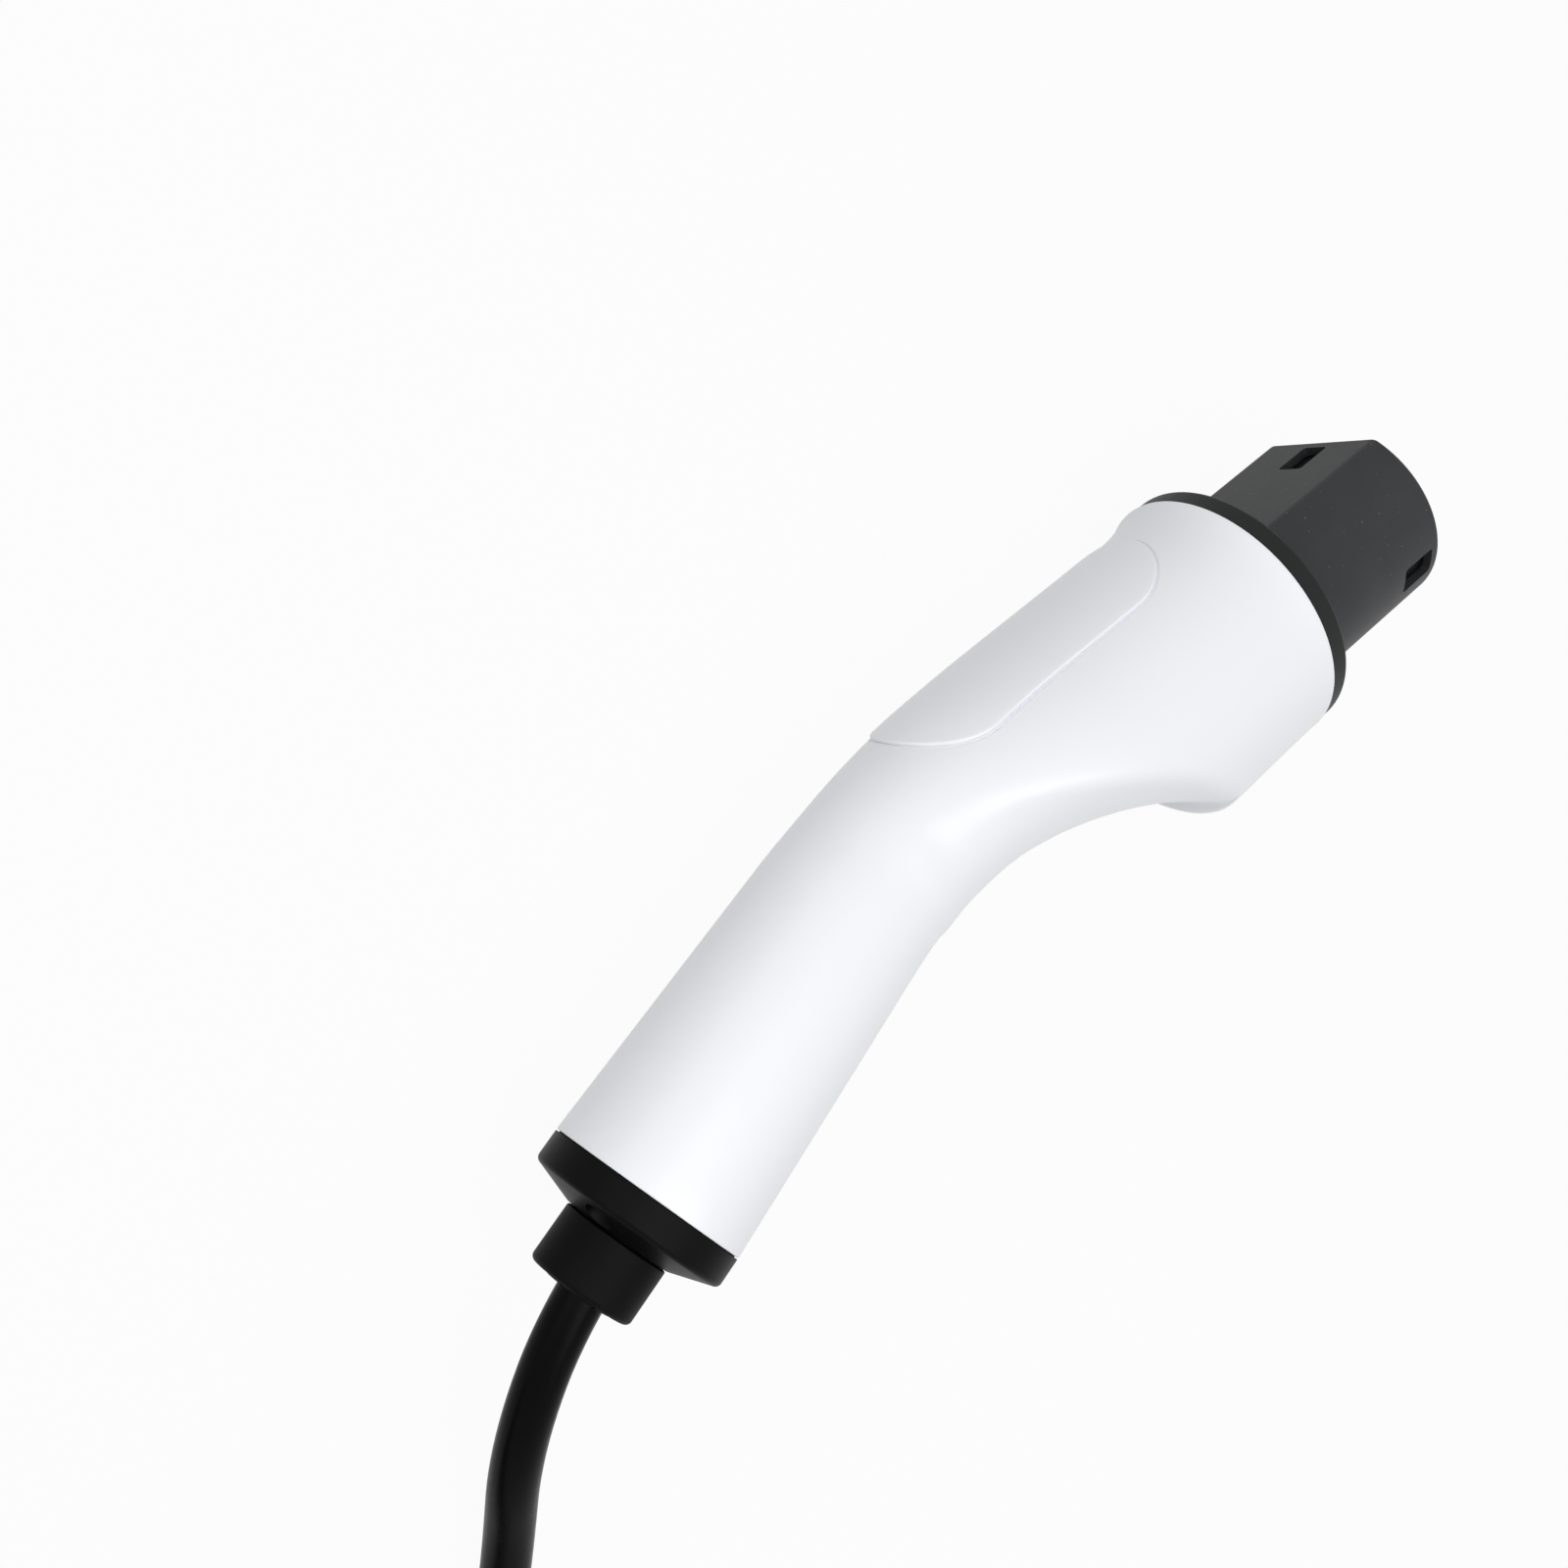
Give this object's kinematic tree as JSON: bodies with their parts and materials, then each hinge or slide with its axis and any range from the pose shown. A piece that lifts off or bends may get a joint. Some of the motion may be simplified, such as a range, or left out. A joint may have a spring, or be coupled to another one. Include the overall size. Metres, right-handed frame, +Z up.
{
  "type": "electric vehicle charging connector with lead",
  "caption": "White bent-handle vehicle charging connector with a dark D-shaped nose, seven socket contacts, an end cap and a short black lead.",
  "frame": {"origin": "centre of the connector's footprint on the floor, without its lead", "axes": "+X towards the nose, +Y towards the thumb panel side, +Z up from the floor it lies on"},
  "size_m": [0.5111, 0.1998, 0.0736],
  "materials": {
    "white_shell": "gloss",
    "panel_white": "gloss",
    "nose_grey": "satin",
    "black_plastic": "matte",
    "rubber_black": "satin",
    "contact_metal": "satin",
    "screw_steel": "satin",
    "wire_insulation": "matte"
  },
  "bodies": {
    "root": {"housing_shell": "white_shell", "thumb_panel": "panel_white", "nose_shroud": "nose_grey", "nose_screws": "screw_steel", "flange_gasket": "rubber_black", "contact_carrier": "black_plastic", "power_sleeves": "black_plastic", "signal_sleeves": "black_plastic", "carrier_screws": "screw_steel", "retainer_plate": "black_plastic", "retainer_screws": "screw_steel", "contact_n": "contact_metal", "contact_l1": "contact_metal", "contact_l2": "contact_metal", "contact_l3": "contact_metal", "contact_pe": "contact_metal", "contact_cp": "contact_metal", "contact_pp": "contact_metal", "proximity_resistor": "wire_insulation", "end_cap": "black_plastic", "end_cap_screws": "screw_steel", "cap_gasket": "rubber_black", "gland_grommet": "rubber_black", "gland_nut": "black_plastic", "gland_clamp_ring": "black_plastic", "wire_pe": "wire_insulation", "wire_n": "wire_insulation", "wire_l1": "wire_insulation", "wire_l2": "wire_insulation", "wire_l3": "wire_insulation", "wire_cp": "wire_insulation", "cable_lead": "rubber_black", "cable_coil": "rubber_black", "cable_tail": "rubber_black", "plug_nut": "black_plastic", "plug_housing": "black_plastic", "plug_ring": "black_plastic", "plug_insert": "black_plastic", "plug_pins": "contact_metal"}
  },
  "joints": []
}
